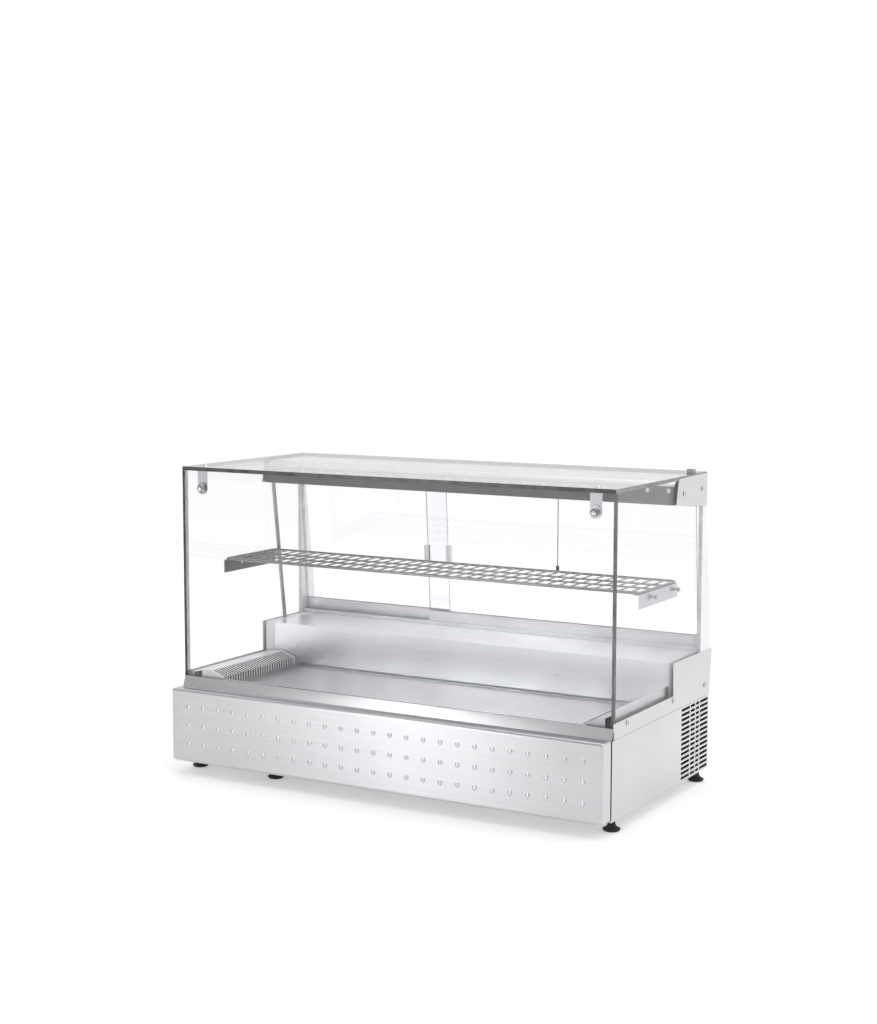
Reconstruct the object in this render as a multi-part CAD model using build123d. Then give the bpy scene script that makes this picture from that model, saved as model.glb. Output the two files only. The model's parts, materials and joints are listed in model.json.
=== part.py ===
"""Countertop refrigerated display case: a low steel base with a dimpled front, a glass chamber with one wire
shelf, a stepped rear housing, a rear canopy and two sliding rear doors.

Millimetres. The case is drawn from two datums, the outer face of the front glass (y = 0) and the underside of
the steel base (z = 0). X runs to the right, Y to the back and Z up. Each piece is moved on export, so that the
origin of the finished part is at the bottom centre of the whole case.
"""
from build123d import *
import os
from math import atan2, degrees

# Overall sizes
body_width = 1000.0          # over the steel side panels
half = body_width / 2
base_height = 155.0          # underside of the base to the seam with the cheeks
case_height = 622.0          # underside of the base to the top of the glass
rear_y = 488.0               # furthest point of the rear housing
fascia_out = 46.0            # front panel stands out in front of the glass
foot_height = 26.0           # floor to the underside of the base

# Sheet and glass thicknesses
sheet = 1.5                  # body sheet
cheek_sheet = 2.0            # side cheeks and canopy end plates
liner_sheet = 1.2            # inside sheets
glass = 8.0                  # front, side and top glass
door_glass = 5.0             # sliding door glass

# Clearances
gap = 0.3                    # between pieces that move against each other
seam = 0.5                   # visible joint between body panels
fit = 0.2                    # radial clearance of a turning shaft
joint = 0.3                  # between foam boards

# Base
base_front_y = -9.0          # front edge of the side panels
base_wall_top = 146.0        # inner front wall, behind the front panel
base_rear_y = 475.0          # rear face of the lower rear panel
pan_flange = 18.0            # upstand of the bottom pan
runner_width = 26.0          # cross runners under the insulated well
runner_inset = 34.0          # runner centre from the ends of the well
vent_rows = 15
vent_pitch = 10.0
vent_height = 5.4
vent_bottom = 5.0
vent_columns = [(328.0, 43.5), (377.0, 22.5), (405.0, 17.0), (427.5, 42.0)]   # start y and length
rear_vent_columns = 6
rear_vent_length = 60.0
rear_vent_rows = 8
rear_vent_margin = 110.0
rear_vent_bottom = 24.0

# Front panel
fascia_top = 157.0
fascia_bottom = 2.0
fascia_return = 31.5         # depth of the side returns
fascia_radius = 6.0
fascia_tabs = [-0.8 * half, 0.0, 0.8 * half]           # tabs of the pan that carry the panel
fascia_tab_width = 60.0
fascia_tab_y = -38.0
dimple_columns = 25
dimple_rows = 3
dimple_margin_x = 42.8       # panel end to the first and last dimple
dimple_shift_x = 2.0         # the rows sit a little right of the middle
dimple_pitch_z = 39.7
dimple_low_z = 39.5
dimple_width = 11.0
dimple_rise = 1.2

# Sill under the front glass
sill_top = 176.0
sill_bottom = 152.0
sill_slope = 9.0             # lower edge stands this much further out
sill_depth = 11.8            # behind the outer glass face

# Cheeks
strip_top = 185.0
step_front_y = 285.0         # front of the tall part of the cheek and face of the rear baffle
step_top_z = 251.0
baffle_left_x = 34.0 - half       # the baffle stops short of the left side
cheek_rear_low_y = base_rear_y + 2.0

# Well, tray and air ducts
well_side = 13.0             # liner wall inwards from the outer side
well_front_y = 12.0
well_floor_z = 58.0
well_rim_z = 158.0
foam_bottom_z = 36.0
foam_rear = 20.0
step_foam_thick = 18.0
rail_width = 14.0
tray_half = half - 96.0
tray_front_y = 17.0
tray_rim = 5.0
tray_gap = 7.0               # tray to baffle
drain_x = tray_half - 15.0
drain_y = 73.0
drain_radius = 5.0
duct_rear_gap = 5.0
cover_front_y = 14.0         # front ends of both duct covers
grille_wall_z = 184.0        # left cover beside the glass
grille_top_z = 190.0
grille_fold_z = 178.0        # top of its fluted face
grille_flat = 49.0           # wall to the fold where the slots begin
grille_port = 25.0           # width of the open port beside the glass
grille_sheet = 2.0
grille_fins = 29
fin_share = 0.5              # bar width over pitch
duct_wall_z = 205.0          # right cover beside the glass
duct_foot = 5.0              # height of its upright foot
duct_port = 13.0
duct_port_drop = 7.0         # port below the sloping top

# Shelf
shelf_front_y = 131.0
shelf_rear_y = 320.0
shelf_top_z = 414.0
bracket_height = 28.0
bracket_lip = 12.0
shelf_wire = 5.0
shelf_cross_wire = 3.0
shelf_cross_pitch = 26.0
shelf_long_wires = [12.0, 66.0, 118.0]       # long wires behind the front one

# Canopy
canopy_front_low = (287.0, case_height - 56.0)      # y and z of the front face's edges
canopy_front_high = (298.0, case_height - glass)
canopy_rear_high_y = 446.0
canopy_rear_low_z = case_height - 70.0
canopy_radius = 18.0
canopy_dimples = 21
canopy_dimple_start = 63.0 - half
canopy_dimple_end = half - 21.0
canopy_dimple_z = case_height - 28.5
canopy_dimple_width = 9.0
lamp_y = 372.0
lamp_width = 34.0
lamp_depth = 14.0
lamp_length = body_width - 140.0

# Rear posts, doors and tracks
post_front_y = 428.5
post_bend_z = case_height - 60.0
door_lean = 4.0              # degrees, top towards the front
door_front_y = 437.0         # inside face of the door stack at the sill
door_pitch = 14.0            # front track to rear track
door_overlap_left = -0.3 * half              # meeting edge of the right door
door_overlap_right = -0.214 * half           # meeting edge of the left door
door_top = case_height - step_top_z - 62.4   # above the track seat, along the door
track_top = door_top + 5.0
rail_height = 30.0
rail_thick = 8.0
pull_height = 38.0
pull_thick = 9.0
pull_out = 8.0
pull_cover = 3.0             # how far the grip reaches over the pane
glass_inset = 14.0           # pane into its bottom rail
pull_centre = 160.0          # above the bottom of the door
track_wall = 1.5
track_floor = 2.0
track_channel = 10.0
track_lip = 7.0
track_top_lip = 12.0

# Fasteners and front glass clips
screw_head = 11.0            # head diameter of the panel screws
screw_rise = 2.6
screw_shank = 5.0
cheek_screws_yz = [(58.0, 177.0), (282.0, 177.0), (450.0, 179.0)]
canopy_screws_yz = [(322.0, case_height - 35.0), (418.0, case_height - 32.0)]
shelf_screws_y = [194.0, 307.0]
clip_x = half - 47.0
clip_width = 24.0
clip_sheet = 2.0
clip_leg = 26.0
clip_knob = 14.0
clip_knob_z = case_height - 45.0
washer_diameter = 25.0       # rubber washer between clip and glass
washer_thick = 1.5
clip_stud_y = 20.0

# Buffer on the top glass
buffer_x = half - 17.0
buffer_y = 400.0
buffer_size = (16.0, 13.0, 8.0)

# Wiring tube and hanging sensor
tube_diameter = 9.0
tube_wall = 1.5
tube_low_y = 352.0           # where it stands on the wiring cover
tube_high_y = 311.5          # where it meets the canopy
probe_x = 0.422 * half
probe_y = 346.0
probe_wire = 1.8
probe_bulb_diameter = 7.0
probe_bulb_length = 13.0
probe_drop = 141.0           # canopy to the top of the bulb

# Feet
foot_x = half - 17.0
foot_middle_x = -0.572 * half
foot_front_y = 30.0
foot_rear_y = 452.0
foot_pad = 34.0
foot_pad_rise = 9.0
foot_stem = 10.0
foot_stem_above = 20.0

# Cooling system
fan_small = 80.0
fan_small_depth = 25.0
fan_large = 120.0
fan_large_depth = 25.0
fan_blades = 5
evaporator_fan_gap = 14.0    # coil to fan frame
condenser_fan_gap = 6.0
fin_pitch = 8.0
fin_thick = 1.0
evaporator_x = (-0.6 * half, 0.12 * half)
evaporator_y = (60.0, 236.0)
evaporator_height = 78.0
condenser_depth = 30.0
condenser_from_side = 26.0
condenser_y = (330.0, 456.0)
condenser_height = 132.0
compressor_x = 0.5 * half
compressor_y = 388.0
compressor_size = (150.0, 118.0)
compressor_height = 150.0
compressor_mount = 8.0       # height of its rubber mounts
compressor_crown = 26.0
terminal_box = (14.0, 44.0, 50.0)
discharge_rise = 26.0        # discharge line above the compressor
drier_x = 0.192 * half
drier_length = 110.0
drier_diameter = 22.0
line_diameter = 8.0
line_hole = 24.0
line_hole_z = 110.0
line_cross_x = -0.12 * half
liquid_y = 318.0             # liquid line behind the well
liquid_z = 40.0
suction_z = 50.0

# Controls on the rear panel
knob_x = -0.6 * half
knob_diameter = 34.0
knob_height = 14.0
spindle = 6.0
thermostat_size = (44.0, 40.0, 26.0)
switch_x = -0.44 * half
switch_flange = (32.0, 25.0)
switch_body = (28.0, 21.0)
switch_deep = 20.0
rocker_size = (20.0, 13.0, 5.0)
rocker_tilt = 7.0
rocker_pivot = 1.0           # above the face of the rear panel
control_z = 128.0
gland_x = 80.0 - half
gland_z = 30.0
gland_bore = 9.0

# Values worked out from the sizes above
glass_out = half - cheek_sheet
glass_in = glass_out - glass
well_half = half - well_side
under_top = case_height - glass
tube_x = -glass_in + tube_diameter / 2 + 0.5
evaporator_z = well_floor_z + liner_sheet + gap
door_seat = Location((0, door_front_y, step_top_z + 0.4)) * Rotation(door_lean, 0, 0)
front_track = rail_thick / 2
rear_track = front_track + door_pitch
shift = Location((0, (fascia_out + dimple_rise - rear_y) / 2, foot_height))
step_under = step_top_z - liner_sheet
canopy_slope = (canopy_front_low[1] - canopy_rear_low_z) / (canopy_rear_high_y - canopy_front_low[0])


def block(x0, x1, y0, y1, z0, z1):
    """A box between two corners."""
    return Pos((x0 + x1) / 2, (y0 + y1) / 2, (z0 + z1) / 2) * Box(abs(x1 - x0), abs(y1 - y0), abs(z1 - z0))


def prism_x(points, x0, x1):
    """A closed outline in (y, z), drawn out from x0 to x1."""
    return extrude(Plane.YZ.offset(x0) * make_face(Polyline(*points, close=True)), x1 - x0)


def prism_y(points, y0, y1):
    """A closed outline in (x, z), drawn out from y0 to y1."""
    return extrude(Plane.XZ.offset(-y1) * make_face(Polyline(*points, close=True)), y1 - y0)


def folded(points, thickness):
    """The outline of a folded sheet: a line of points and the same line set off to its left."""
    inner = []
    for i, (a, b) in enumerate(points):
        sides = []
        for j in (i - 1, i):
            if 0 <= j < len(points) - 1:
                (ax, ay), (bx, by) = points[j], points[j + 1]
                length = ((bx - ax) ** 2 + (by - ay) ** 2) ** 0.5
                sides.append((-(by - ay) / length, (bx - ax) / length))
        nx = sum(s[0] for s in sides)
        ny = sum(s[1] for s in sides)
        scale = thickness * len(sides) / (nx * nx + ny * ny)
        inner.append((a + nx * scale, b + ny * scale))
    return list(points) + inner[::-1]


def cylinder(start, end, radius):
    """A round bar between two points."""
    a, b = Vector(*start), Vector(*end)
    plane = Plane(origin=a, z_dir=(b - a).normalized())
    return extrude(plane * Circle(radius), (b - a).length)


def pipe(points, radii, radius):
    """A round tube through straight runs joined by arcs."""
    path = FilletPolyline(*points, radius=radii)
    start = Plane(origin=path @ 0, z_dir=path % 0)
    return sweep(start * Circle(radius), path)


def dome(width, rise):
    """A shallow round boss standing on the XY plane."""
    radius = (width * width / 4 + rise * rise) / (2 * rise)
    return Pos(0, 0, rise - radius) * Sphere(radius) & Pos(0, 0, rise) * Box(width, width, 2 * rise)


def facing(x, y, z, direction):
    """A place whose Z axis points along a direction."""
    return Plane(origin=(x, y, z), z_dir=direction).location


def sides():
    """The two sides of the case, left and right."""
    return (-1, 1)


# Base
def base_pan():
    """Bottom sheet with upstands, tabs for the front panel and the runners that carry the insulated well."""
    x = half - sheet - 0.3
    rear = base_rear_y - sheet - 0.2
    line = [(base_front_y, base_wall_top), (base_front_y, 0), (rear, 0), (rear, pan_flange)]
    pan = prism_x(folded(line, sheet), -x, x)
    for y in (well_front_y + runner_inset, step_front_y - runner_inset):
        runner = [(y - runner_width / 2, sheet), (y - runner_width / 2, foam_bottom_z),
                  (y + runner_width / 2, foam_bottom_z), (y + runner_width / 2, sheet)]
        pan += prism_x(folded(runner, -sheet), -x, x)
    front = base_front_y
    for x in fascia_tabs:
        x0, x1 = x - fascia_tab_width / 2, x + fascia_tab_width / 2
        low, high = fascia_bottom + sheet + gap, fascia_top - sheet - gap
        pan += block(x0, x1, fascia_tab_y, front + sheet, low, low + sheet)
        pan += block(x0, x1, front - 2.2, front, base_wall_top - 8, base_wall_top)
        pan += block(x0, x1, front - 2.2, front - 0.7, base_wall_top - 8, high)
        pan += block(x0, x1, fascia_tab_y, front - 0.7, high - sheet, high)
    for fx, fy in foot_places():
        pan -= cylinder((fx, fy, -1), (fx, fy, sheet + 1), foot_stem / 2 + fit)
        pan -= cylinder((fx, fy, sheet - 0.01), (fx, fy, foam_bottom_z + 1), foot_stem / 2 + 3)
    return pan


def vent_slots(x0, x1):
    """The slots of a side panel."""
    slots = []
    for row in range(vent_rows):
        z = vent_bottom + row * vent_pitch
        for start, length in vent_columns:
            slots.append(block(x0, x1, start, min(start + length, base_rear_y - 5), z, z + vent_height))
    return slots


def base_sides():
    """Lower side panels with their ventilation slots."""
    panels = []
    for side in sides():
        panel = block(side * (half - sheet), side * half, base_front_y, base_rear_y - 0.2,
                      0, base_height - seam)
        panels.append(panel - vent_slots(side * (half - 3 * sheet), side * (half + 1)))
    return panels[0] + panels[1]


def rear_panel():
    """Lower rear wall, bent outwards above the base, with vents and the cut-outs for the controls."""
    x = half - cheek_sheet
    top_y = rear_y - 1.0
    top_z = step_top_z - 4
    line = [(base_rear_y, 0), (base_rear_y, base_height), (top_y, top_z), (top_y - 17, top_z)]
    panel = prism_x(folded(line, sheet), -x + 0.3, x - 0.3)
    for side in sides():
        panel -= block(side * (glass_in - 0.3), side * half, top_y - 20, top_y - 2.5, top_z - 9, top_z + 1)
    pitch = (body_width - 2 * rear_vent_margin) / rear_vent_columns
    for column in range(rear_vent_columns):
        cx = (column - (rear_vent_columns - 1) / 2) * pitch
        for row in range(rear_vent_rows):
            z = rear_vent_bottom + row * vent_pitch
            panel -= block(cx - rear_vent_length / 2, cx + rear_vent_length / 2,
                           base_rear_y - 5, base_rear_y + 5, z, z + vent_height)
    panel -= control_place(knob_x) * Cylinder(spindle / 2 + 2, 20)
    panel -= control_place(switch_x) * Box(switch_body[0] + 0.4, switch_body[1] + 0.4, 20)
    return panel - facing(gland_x, base_rear_y, gland_z, (0, 1, 0)) * Cylinder(gland_bore / 2 + 3.2, 10)


def control_place(x):
    """A place on the lower part of the rear panel, with Z out of it."""
    return Plane(origin=(x, base_rear_y, control_z), x_dir=(1, 0, 0), z_dir=(0, 1, 0)).location


def front_fascia():
    """Removable front panel with rounded edges, side returns and rows of pressed dimples."""
    depth = fascia_return
    outer = block(-half, half, -fascia_out, -fascia_out + depth, fascia_bottom, fascia_top)
    front = outer.edges().filter_by_position(Axis.Y, -fascia_out - 0.1, -fascia_out + 0.1)
    corners = outer.edges().filter_by(Axis.Y)
    outer = fillet(front + corners, fascia_radius)
    inner = block(-half + sheet, half - sheet, -fascia_out + sheet, -fascia_out + depth + 1,
                  fascia_bottom + sheet, fascia_top - sheet)
    front = inner.edges().filter_by_position(Axis.Y, -fascia_out + sheet - 0.1, -fascia_out + sheet + 0.1)
    corners = inner.edges().filter_by(Axis.Y)
    shell = outer - fillet(front + corners, fascia_radius - sheet)
    boss = dome(dimple_width, dimple_rise)
    pitch = (body_width - 2 * dimple_margin_x) / (dimple_columns - 1)
    x0 = dimple_margin_x - half + dimple_shift_x
    bosses = [facing(x0 + i * pitch, -fascia_out, dimple_low_z + j * dimple_pitch_z, (0, -1, 0)) * boss
              for i in range(dimple_columns) for j in range(dimple_rows)]
    return shell + bosses


def front_sill():
    """Folded sill that the front glass stands on."""
    line = [(-sill_slope, sill_bottom), (0, sill_top), (sill_depth, sill_top), (sill_depth, sill_bottom - 4)]
    sill = prism_x(folded(line, -sheet), -glass_out, glass_out)
    return sill


def side_cheek(side):
    """L-shaped outer sheet that clamps the side glass and closes the rear housing."""
    low = base_height
    outline = [(0, low), (0, strip_top), (step_front_y, strip_top), (step_front_y, step_top_z),
               (rear_y, step_top_z), (cheek_rear_low_y, low)]
    cheek = prism_x(outline, side * glass_out, side * half)
    for y, z in cheek_screws_yz:
        cheek -= cylinder((side * (glass_out - 1), y, z), (side * (half + 1), y, z), screw_shank / 2 + 0.1)
    return cheek


# Insulated well
def well_liner():
    """Inner tub with an outward rim and a drain spout."""
    w, f, r = well_half, well_front_y, step_front_y - 1.0
    tub = block(-w, w, f, r, well_floor_z, well_rim_z)
    tub -= block(-w + liner_sheet, w - liner_sheet, f + liner_sheet, r - liner_sheet,
                 well_floor_z + liner_sheet, well_rim_z + 1)
    rim = block(-glass_out + 0.3, glass_out - 0.3, f, r, well_rim_z - liner_sheet, well_rim_z)
    tub += rim - block(-w + liner_sheet, w - liner_sheet, f + liner_sheet, r - liner_sheet, 0, case_height)
    spout = (drain_x, drain_y, foam_bottom_z - 6)
    tub += cylinder(spout, (drain_x, drain_y, well_floor_z + 0.5), drain_radius + 2)
    tub -= cylinder((drain_x, drain_y, 0), (drain_x, drain_y, well_floor_z + 9), drain_radius)
    tub -= cylinder((line_cross_x, r - 9, line_hole_z), (line_cross_x, r + 9, line_hole_z), line_hole / 2)
    return tub


def insulation():
    """Foam boards under and round the well, behind the baffle and under the step."""
    w, f, r = well_half + 0.2, well_front_y - 0.2, step_front_y - 0.8
    x, front, rear = glass_out - gap, base_front_y + sheet + 0.2, step_front_y + foam_rear
    low, floor, top = foam_bottom_z, well_floor_z - 0.2, well_rim_z - liner_sheet - 0.2
    bore = cylinder((line_cross_x, r - 9, line_hole_z), (line_cross_x, rear + 9, line_hole_z), line_hole / 2)
    drain = cylinder((drain_x, drain_y, 0), (drain_x, drain_y, well_floor_z), drain_radius + 2.2)
    boards = [block(-x, x, front, rear, low, floor) - drain,
              block(-x, x, front, f, floor + joint, sill_bottom - 6),
              block(-x, x, r, rear, floor + joint, top) - bore]
    for side in sides():
        boards.append(block(side * w, side * x, f + joint, r - joint, floor + joint, sill_bottom - 6))
    front, rear = step_front_y + liner_sheet + 1.2, post_front_y - 2
    x, top, low = glass_in - 0.4, step_under - 0.2, well_rim_z + 0.2
    boards.append(block(-x, x, front, step_front_y + foam_rear, low, top - step_foam_thick - joint))
    boards.append(block(-x, x, front, rear, top - step_foam_thick, top))
    return boards[0] + boards[1:]


def rear_baffle():
    """Polished upright behind the tray."""
    return block(baffle_left_x, glass_in - 0.5, step_front_y, step_front_y + liner_sheet,
                 well_rim_z + 0.2, step_under)


def wire_cover():
    """Folded plastic cover of the wiring, in front of and on top of the left end of the rear housing."""
    line = [(step_front_y, well_rim_z + 0.2), (step_front_y, step_top_z), (rear_y - 19, step_top_z)]
    cover = prism_x(folded(line, -liner_sheet), -glass_in + 0.5, baffle_left_x - gap)
    x, y = tube_x, tube_low_y
    return cover - cylinder((x, y, step_under - 1), (x, y, step_top_z + 1), tube_diameter / 2 - tube_wall)


def step_top():
    """Flat sheet over the rear housing, from the baffle to the rear panel."""
    return block(baffle_left_x, glass_in - 0.4, step_front_y, rear_y - 19, step_under, step_top_z)


def tray_rails():
    """Two angle rails that carry the tray and the inner feet of the duct covers."""
    rails = []
    for side in sides():
        x = side * (tray_half + 1)
        top = well_rim_z - gap
        line = [(x - side * rail_width, top), (x + side * 2, top), (x + side * 2, top - 12)]
        rails.append(prism_y(folded(line, -side * liner_sheet), well_front_y + liner_sheet + 0.1,
                             step_front_y - 1.0 - liner_sheet - 0.1))
    return rails[0] + rails[1]


def display_tray():
    """Lift-out deck with an upturned rim and a drain hole."""
    rear = step_front_y - tray_gap
    tray = block(-tray_half, tray_half, tray_front_y, rear, well_rim_z, well_rim_z + tray_rim)
    tray = fillet(tray.edges().filter_by(Axis.Z), 6)
    hollow = block(-tray_half + sheet, tray_half - sheet, tray_front_y + sheet, rear - sheet,
                   well_rim_z + sheet, well_rim_z + 20)
    tray -= fillet(hollow.edges().filter_by(Axis.Z), 6 - sheet)
    tray -= cylinder((drain_x, drain_y, 0), (drain_x, drain_y, case_height), drain_radius)
    return tray


def louvred_grille():
    """Lift-off louvred cover of the left air duct, open at its front end beside the glass."""
    wall, foot = -glass_in + 1.5, -tray_half - 3.5
    port, fold = wall + grille_port, wall + grille_flat
    low, t = well_rim_z + gap, grille_sheet
    outer = [(wall, low), (wall, grille_wall_z), (port, grille_top_z - 1), (fold, grille_top_z),
             (foot, grille_fold_z), (foot, low)]
    inner = [(wall + t, low - 1), (wall + t, grille_wall_z - t), (port, grille_top_z - 1 - t),
             (fold - 0.6, grille_top_z - t), (foot - t, grille_fold_z - t * 0.7), (foot - t, low - 1)]
    rear = step_front_y - duct_rear_gap
    cover = prism_y(outer, cover_front_y, rear) - prism_y(inner, cover_front_y + t, rear - t)
    opening = [(wall + t, low - 1), (wall + t, grille_wall_z - t), (port, grille_top_z - 1 - t),
               (port, low - 1)]
    cover -= prism_y(opening, cover_front_y - 1, cover_front_y + t + 1)
    first, last = cover_front_y + t + 1.5, rear - t - 1.5
    pitch = (last - first) / grille_fins
    half_slot = pitch * (1 - fin_share) / 2
    for i in range(grille_fins):
        y = first + (i + 0.5) * pitch
        cover -= block(fold + 1, foot + 5, y - half_slot, y + half_slot, low + 3, grille_top_z + 5)
    return cover


def duct_cover():
    """Lift-off plain cover of the right air duct, with an open port in its front end."""
    wall, foot = glass_in - 1.5, tray_half + 3.5
    low, t = well_rim_z + gap, liner_sheet
    outer = [(foot, low), (foot, low + duct_foot), (wall, duct_wall_z), (wall, low)]
    inner = [(foot + t, low - 1), (foot + t, low + duct_foot - t * 0.4), (wall - t, duct_wall_z - t * 1.8),
             (wall - t, low - 1)]
    rear = step_front_y - duct_rear_gap
    cover = prism_y(outer, cover_front_y, rear) - prism_y(inner, cover_front_y + t, rear - t)
    slope = (duct_wall_z - low - duct_foot) / (wall - foot)
    port, top = wall - t - duct_port, duct_wall_z - duct_port_drop
    opening = [(port, low + 2), (port, top - (duct_port + t) * slope), (wall - t, top - t * slope),
               (wall - t, low + 2)]
    return cover - prism_y(opening, cover_front_y - 1, cover_front_y + t + 1)


# Glass
def front_glass():
    return block(-glass_out, glass_out, 0, glass, sill_top + 0.1, under_top)


def side_glass(side):
    """Side pane, notched over the sill and drilled for the shelf and canopy screws."""
    pane = block(side * glass_in, side * glass_out, glass, post_front_y - 0.3, well_rim_z + 0.1, under_top)
    pane -= block(side * (glass_in - 1), side * (glass_out + 1), 0, sill_depth + 0.2,
                  well_rim_z, sill_top + 0.1)
    for y, z in canopy_screws_yz + shelf_screws_yz():
        pane -= cylinder((side * (glass_in - 1), y, z), (side * (glass_out + 1), y, z), screw_shank / 2 + 0.3)
    return pane


def top_glass():
    plate = block(-glass_out, glass_out, 0, canopy_rear_high_y + 2, under_top, case_height)
    return plate


def glass_clips():
    """Round-ended angle brackets that hold the front glass to the top glass."""
    clips = []
    radius = clip_width / 2
    top = under_top - 0.2
    face = glass + washer_thick
    for side in sides():
        x = side * clip_x
        line = [(face, clip_knob_z - radius), (face, top), (glass + clip_leg, top)]
        clip = prism_x(folded(line, -clip_sheet), x - radius, x + radius)
        corners = clip.edges().filter_by(Axis.Y).sort_by(Axis.Z)[0:2]
        clips.append(fillet(corners, radius - 0.2))
    return clips[0] + clips[1]


def clip_screws():
    """Fasteners of the clips: round-headed screws through both glasses, rubber washers and fluted nuts."""
    screws = []
    for side in sides():
        x = side * clip_x
        washer = Cylinder(washer_diameter / 2, washer_thick)
        washer -= Cylinder(washer_diameter / 2 - 4, washer_thick + 1)
        screws.append(facing(x, glass + washer_thick / 2, clip_knob_z, (0, 1, 0)) * washer)
        screws.append(facing(x, glass + washer_thick + clip_sheet, clip_knob_z, (0, 1, 0)) * knob_nut())
        screws.append(facing(x, 0, clip_knob_z, (0, -1, 0)) * dome(clip_knob, 3.0))
        screws.append(facing(x, clip_stud_y, case_height, (0, 0, 1)) * dome(clip_knob - 4, 3.0))
    return screws[0] + screws[1:]


def knob_nut():
    """Fluted round nut on the back of the clip."""
    nut = Pos(0, 0, 2.5) * Cylinder(clip_knob / 2, 5)
    for i in range(8):
        nut -= Rotation(0, 0, i * 45) * Pos(clip_knob / 2 + 0.8, 0, 2.5) * Cylinder(1.6, 6)
    return nut


def top_buffer():
    """Small moulded block stuck on the top glass near its right rear corner, notched underneath."""
    w, d, h = buffer_size
    body = fillet(Box(w, d, h).edges().filter_by(Axis.Z), 1.5) - Pos(0, 0, -h / 2) * Box(w / 3, d + 1, 3)
    return Pos(buffer_x, buffer_y, case_height + h / 2) * body


# Shelf
def shelf_brackets():
    """Angle brackets screwed to the side glasses, carrying the shelf."""
    angles = []
    top = shelf_top_z - shelf_wire - 0.1
    for side in sides():
        wall = side * (glass_in - 0.1)
        line = [(wall, top - bracket_height), (wall, top), (wall - side * bracket_lip, top)]
        angle = prism_y(folded(line, side * cheek_sheet), shelf_front_y, shelf_rear_y)
        for y, z in shelf_screws_yz():
            angle -= cylinder((side * glass_in, y, z), (side * (glass_in - 6), y, z), screw_shank / 2 + 0.1)
        angles.append(angle)
    return angles[0] + angles[1]


def shelf_screws_yz():
    return [(y, shelf_top_z - shelf_wire - bracket_height / 2 + 2) for y in shelf_screws_y]


def wire_shelf():
    """Welded wire shelf: a frame, long wires and cross wires above them."""
    r = shelf_wire / 2
    x = glass_in - 3.0
    z = shelf_top_z - r
    y0, y1 = shelf_front_y + r, shelf_rear_y - r
    frame = FilletPolyline((-x, y0, z), (x, y0, z), (x, y1, z), (-x, y1, z), radius=9, close=True)
    start = Plane(origin=frame @ 0, z_dir=frame % 0)
    shelf = sweep(start * Circle(r), frame)
    for y in shelf_long_wires:
        shelf += cylinder((-x, y0 + y, z), (x, y0 + y, z), r * 0.8)
    count = int(2 * (x - 8) / shelf_cross_pitch)
    span = count * shelf_cross_pitch
    c = shelf_cross_wire / 2
    z = shelf_top_z - c
    for i in range(count + 1):
        x = -span / 2 + i * shelf_cross_pitch
        shelf += cylinder((x, y0, z), (x, y1, z), c)
    return shelf


# Canopy
def canopy_outline(inset):
    """Section of the canopy in (y, z), set in by a wall thickness."""
    (ly, lz), (hy, hz) = canopy_front_low, canopy_front_high
    ry, rz = canopy_rear_high_y, canopy_rear_low_z
    s = inset
    return [(ly + s, lz + s * 0.9), (hy + s, hz - s), (ry - s, hz - s), (ry - s, rz + s * 1.1)]


def canopy_shell(x, inset):
    """The canopy's outline drawn along the case, with its top front edge rounded."""
    body = prism_x(canopy_outline(inset), -x, x)
    front_y = canopy_front_high[0] + inset
    edges = [e for e in body.edges().filter_by(Axis.X) if abs(e.center().Y - front_y) < 0.1]
    return fillet(edges, canopy_radius - inset)


def canopy():
    """Hollow steel channel along the rear of the top glass, with a rounded front fold and a row of dimples.

    Its underside is slotted for the lamp and for the upper door track.
    """
    x = glass_in - 0.3
    body = canopy_shell(x, 0) - canopy_shell(x + 1, sheet)
    low_z = underside_z(lamp_y)
    body -= block(-lamp_length / 2, lamp_length / 2, lamp_y - lamp_width / 2, lamp_y + lamp_width / 2,
                  low_z - 9, low_z + 9)
    n0, n1 = front_track - track_channel / 2 - track_wall, rear_track + track_channel / 2 + track_wall
    body -= door_seat * block(-half, half, n0 - 0.2, n1 + 0.2, track_top - track_top_lip - 12, track_top + 0.2)
    (ly, lz), (hy, hz) = canopy_front_low, canopy_front_high
    y = ly + (hy - ly) * (canopy_dimple_z - lz) / (hz - lz)
    boss = dome(canopy_dimple_width, dimple_rise)
    pitch = (canopy_dimple_end - canopy_dimple_start) / (canopy_dimples - 1)
    bosses = [facing(canopy_dimple_start + i * pitch, y, canopy_dimple_z, (0, lz - hz, hy - ly)) * boss
              for i in range(canopy_dimples)]
    return body + bosses


def underside_z(y):
    """Height of the canopy's underside."""
    return canopy_front_low[1] - (y - canopy_front_low[0]) * canopy_slope


def foot_places():
    """Plan positions of the six levelling feet."""
    return [(x, y) for y in (foot_front_y, foot_rear_y) for x in (-foot_x, foot_middle_x, foot_x)]


def canopy_plates():
    """End plates that clamp the side glasses to the canopy."""
    plates = []
    (ly, lz), hy = canopy_front_low, canopy_front_high[0]
    outline = [(ly, lz), (hy, case_height - 4), (canopy_rear_high_y + 1, case_height - 1.5),
               (canopy_rear_high_y - 1, canopy_rear_low_z)]
    for side in sides():
        plate = prism_x(outline, side * glass_out, side * half)
        for y, z in canopy_screws_yz:
            plate -= cylinder((side * (glass_out - 1), y, z), (side * (half + 1), y, z), screw_shank / 2 + 0.1)
        plates.append(plate)
    return plates[0] + plates[1]


def panel_screws():
    """Button-head screws of the cheeks, canopy plates and shelf brackets."""
    screws = []
    for side in sides():
        for y, z in cheek_screws_yz:
            screws.append(panel_screw(side, side * half, y, z, cheek_sheet))
        for y, z in canopy_screws_yz:
            screws.append(panel_screw(side, side * half, y, z, cheek_sheet + glass))
        for y, z in shelf_screws_yz():
            screws.append(panel_screw(side, side * glass_out, y, z, glass + cheek_sheet))
    return screws[0] + screws[1:]


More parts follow.
